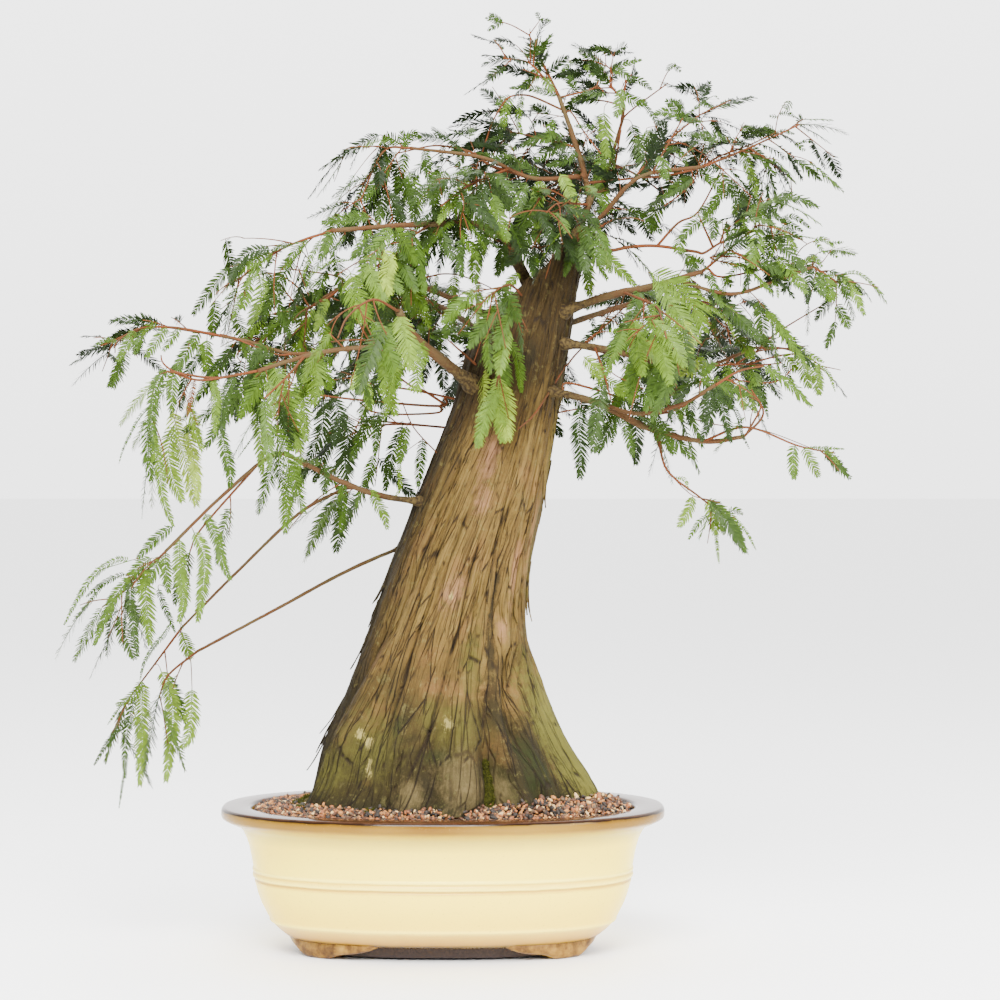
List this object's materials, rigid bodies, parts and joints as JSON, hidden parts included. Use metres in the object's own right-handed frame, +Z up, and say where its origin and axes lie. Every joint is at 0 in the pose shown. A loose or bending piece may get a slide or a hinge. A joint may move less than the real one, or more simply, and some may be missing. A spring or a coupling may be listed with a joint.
{
  "type": "bald cypress bonsai in a glazed pot",
  "caption": "Leaning bald cypress bonsai with a flared, fluted trunk and a spreading crown of feathery sprays, in a shallow oval glazed pot on bracket feet.",
  "frame": {"origin": "on the floor, in the middle of the plant's bounding box seen from above", "axes": "+Z up; +X to the right and -Y towards the viewer, who sees the pot's long side and the trunk leaning to the right"},
  "size_m": [0.9139, 0.6107, 1.0553],
  "materials": {
    "pot_glaze": "cream glaze breaking to brown and ochre at the rim, ridges and feet, glossy",
    "gravel": "loose brown and grey gravel with moss, damp and matt",
    "trunk_bark": "fibrous brown and grey bark with green algae near the soil, matt",
    "bough_bark": "thin reddish brown bark, matt",
    "foliage": "soft flat green needles in two ranks, satin"
  },
  "bodies": {
    "root": {"bough_back_left": "bough_bark", "bough_back_right": "bough_bark", "bough_left_arch": "bough_bark", "bough_left_far": "bough_bark", "bough_left_front": "bough_bark", "bough_left_long": "bough_bark", "bough_left_low": "bough_bark", "bough_left_lowest": "bough_bark", "bough_left_mid": "bough_bark", "bough_left_second": "bough_bark", "bough_left_sweep": "bough_bark", "bough_right_far": "bough_bark", "bough_right_low": "bough_bark", "bough_right_mid": "bough_bark", "bough_right_outer": "bough_bark", "bough_right_reach": "bough_bark", "bough_right_upper": "bough_bark", "bough_top_back": "bough_bark", "bough_top_left": "bough_bark", "bough_top_right": "bough_bark", "foliage_arch_inner": "foliage", "foliage_back_high": "foliage", "foliage_back_left": "foliage", "foliage_back_middle": "foliage", "foliage_back_right": "foliage", "foliage_crown_centre": "foliage", "foliage_crown_inner": "foliage", "foliage_crown_left": "foliage", "foliage_crown_left_low": "foliage", "foliage_crown_right": "foliage", "foliage_crown_right_tip": "foliage", "foliage_crown_top": "foliage", "foliage_crown_top_right": "foliage", "foliage_front_top": "foliage", "foliage_front_trunk": "foliage", "foliage_left_arch": "foliage", "foliage_left_front": "foliage", "foliage_left_hanging": "foliage", "foliage_left_lower": "foliage", "foliage_left_mid": "foliage", "foliage_left_tip": "foliage", "foliage_left_under": "foliage", "foliage_left_weeping": "foliage", "foliage_low_hanging": "foliage", "foliage_low_left": "foliage", "foliage_lowest_inner": "foliage", "foliage_lowest_outer": "foliage", "foliage_right_far": "foliage", "foliage_right_front": "foliage", "foliage_right_hanging": "foliage", "foliage_right_low": "foliage", "foliage_right_low_tip": "foliage", "foliage_right_mid": "foliage", "foliage_right_outer": "foliage", "foliage_right_outlier": "foliage", "foliage_right_upper": "foliage", "leader": "bough_bark", "pot": "pot_glaze", "soil": "gravel", "trunk": "trunk_bark"}
  },
  "joints": []
}
